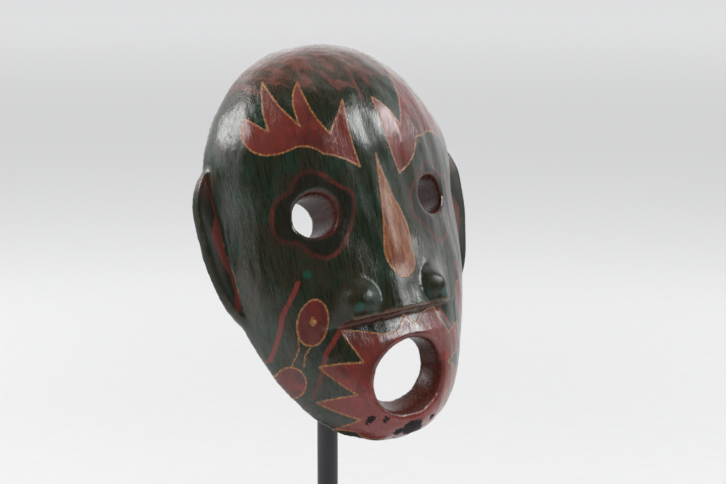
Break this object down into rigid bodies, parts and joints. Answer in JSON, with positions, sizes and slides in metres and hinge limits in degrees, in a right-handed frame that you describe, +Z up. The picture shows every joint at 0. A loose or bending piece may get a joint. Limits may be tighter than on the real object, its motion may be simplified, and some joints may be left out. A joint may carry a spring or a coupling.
{
  "type": "folk mask on display stand",
  "caption": "Carved wooden folk mask with round through eyes and an open oval mouth, held by a swivelling height-adjustable post stand.",
  "frame": {"origin": "on the post's axis at the underside of the base felt", "axes": "+Z up along the post; the mask faces -Y; +X is the mask's left-hand side as it looks out"},
  "size_m": [0.1955, 0.1489, 0.3528],
  "materials": {
    "painted_carving": "varnished green and red paint over carved wood",
    "black_wood": "satin black stain",
    "felt": "matt black felt",
    "black_steel": "fine textured matt black",
    "plain_steel": "zinc plated",
    "brass": "aged, knurled",
    "rubber": "matt black"
  },
  "bodies": {
    "stand": {"stand_base": "black_wood", "base_felt": "felt", "post": "black_steel", "post_plug": "plain_steel", "post_bolt": "plain_steel", "post_washer": "plain_steel", "clamp_collar": "black_steel"},
    "height_screw": {"height_screw": "brass"},
    "height_rod": {"height_rod": "black_steel"},
    "cradle": {"swivel_block": "black_steel", "spine": "black_steel", "cross_bar": "black_steel", "tip_sleeves": "rubber", "chin_bumper": "rubber"},
    "swivel_screw": {"swivel_screw": "brass"},
    "mask": {"mask": "painted_carving"}
  },
  "joints": [
    {"name": "height_screw_turn", "type": "hinge", "parent": "stand", "child": "height_screw", "pos_m": [0, 0.014, 0.152], "axis": [0, 1, 0], "range_deg": [-360, 360]},
    {"name": "height_slide", "type": "slide", "parent": "stand", "child": "height_rod", "axis": [0, 0, 1], "range_m": [-0.03, 0.04]},
    {"name": "cradle_swivel", "type": "hinge", "parent": "height_rod", "child": "cradle", "pos_m": [0, 0, 0.205], "axis": [0, 0, 1], "range_deg": [-120, 120]},
    {"name": "swivel_screw_turn", "type": "hinge", "parent": "cradle", "child": "swivel_screw", "pos_m": [0, 0.014, 0.205], "axis": [0, 1, 0], "range_deg": [-360, 360]},
    {"name": "mask_lift_off", "type": "slide", "parent": "cradle", "child": "mask", "axis": [0, -0.9483, 0.3173], "range_m": [0, 0.06]}
  ]
}
